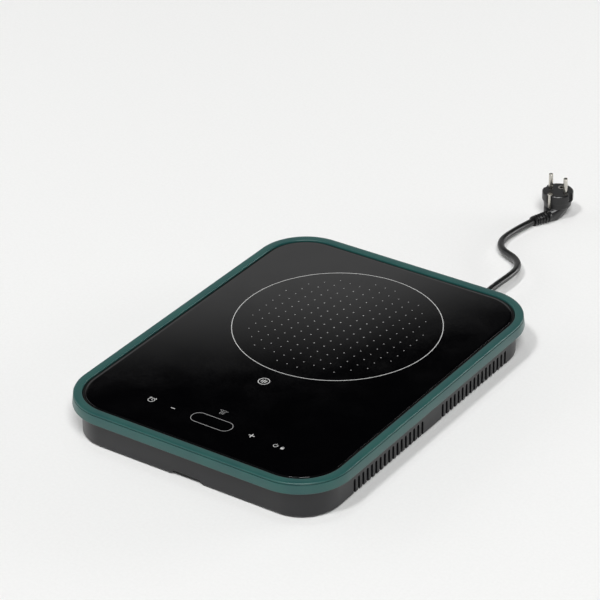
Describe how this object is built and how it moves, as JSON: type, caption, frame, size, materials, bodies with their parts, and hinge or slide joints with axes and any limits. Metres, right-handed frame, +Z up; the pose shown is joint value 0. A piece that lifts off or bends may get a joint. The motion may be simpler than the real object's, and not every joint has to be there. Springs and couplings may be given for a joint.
{
  "type": "portable induction cooktop",
  "caption": "Low portable induction cooktop with a black glass top in a moulded bezel, vented housing, cooling fan, coil and a short mains lead with an angled earthed plug.",
  "frame": {"origin": "on the table, under the middle of the casing without its cord, grommet and plug", "axes": "+Z up from the table; +Y from the touch controls at the front to the cord at the back; +X to the right of a person at the controls"},
  "size_m": [0.31, 0.6713, 0.0488],
  "materials": {
    "bezel_plastic": "satin moulded",
    "housing_plastic": "fine moulded texture",
    "cooktop_glass": "polished black glass ceramic",
    "seal_rubber": "matt",
    "screw_steel": "zinc plated",
    "carrier_plastic": "matt",
    "winding_copper": "enamelled copper wire",
    "mica": "pressed mica",
    "ferrite": "sintered",
    "fan_plastic": "satin",
    "circuit_board": "solder mask",
    "sink_aluminium": "extruded",
    "device_plastic": "moulded",
    "capacitor_film": "box film",
    "cord_pvc": "satin PVC",
    "pin_nickel": "nickel plated brass"
  },
  "bodies": {
    "casing": {"bezel_frame": "bezel_plastic", "glass_seal": "seal_rubber", "glass_top": "cooktop_glass", "housing_floor": "housing_plastic", "housing_wall": "housing_plastic", "foot_front_left": "seal_rubber", "foot_front_right": "seal_rubber", "foot_rear_left": "seal_rubber", "foot_rear_right": "seal_rubber", "case_screw_1": "screw_steel", "case_screw_2": "screw_steel", "case_screw_3": "screw_steel", "case_screw_4": "screw_steel", "case_screw_5": "screw_steel", "case_screw_6": "screw_steel", "coil_carrier": "carrier_plastic", "coil_winding": "winding_copper", "mica_sheet": "mica", "ferrite_bar_1": "ferrite", "ferrite_bar_2": "ferrite", "ferrite_bar_3": "ferrite", "ferrite_bar_4": "ferrite", "ferrite_bar_5": "ferrite", "ferrite_bar_6": "ferrite", "sensor_spring": "screw_steel", "coil_screw_1": "screw_steel", "coil_screw_2": "screw_steel", "coil_screw_3": "screw_steel", "fan_frame": "fan_plastic", "power_board": "circuit_board", "power_transistor": "device_plastic", "bridge_rectifier": "device_plastic", "heat_sink": "sink_aluminium", "line_choke": "winding_copper", "resonance_capacitor": "device_plastic", "filter_capacitor": "capacitor_film", "buzzer": "device_plastic", "control_board": "circuit_board", "touch_pad_1": "seal_rubber", "touch_pad_2": "seal_rubber", "touch_pad_3": "seal_rubber", "touch_pad_4": "seal_rubber", "display_module": "device_plastic", "cord_grommet": "seal_rubber", "cord_clamp": "device_plastic", "clamp_screw_1": "screw_steel", "clamp_screw_2": "screw_steel", "inner_lead": "cord_pvc", "mains_cord": "cord_pvc", "plug_relief": "cord_pvc", "plug_body": "cord_pvc", "plug_pin_left": "pin_nickel", "plug_pin_right": "pin_nickel", "earth_clip_front": "pin_nickel", "earth_clip_rear": "pin_nickel"},
    "rotor": {"fan_rotor": "fan_plastic"},
    "sensor": {"sensor_cap": "carrier_plastic"}
  },
  "joints": [
    {"name": "fan_spin", "type": "hinge", "parent": "casing", "child": "rotor", "pos_m": [-0.085, -0.089, 0.0125], "axis": [0, 0, 1], "continuous": true},
    {"name": "sensor_press", "type": "slide", "parent": "casing", "child": "sensor", "axis": [0, 0, 1], "range_m": [-0.0025, 0], "stiffness_N_per_m": 300, "springref_m": 0.002, "deforming": ["sensor_spring"]}
  ]
}
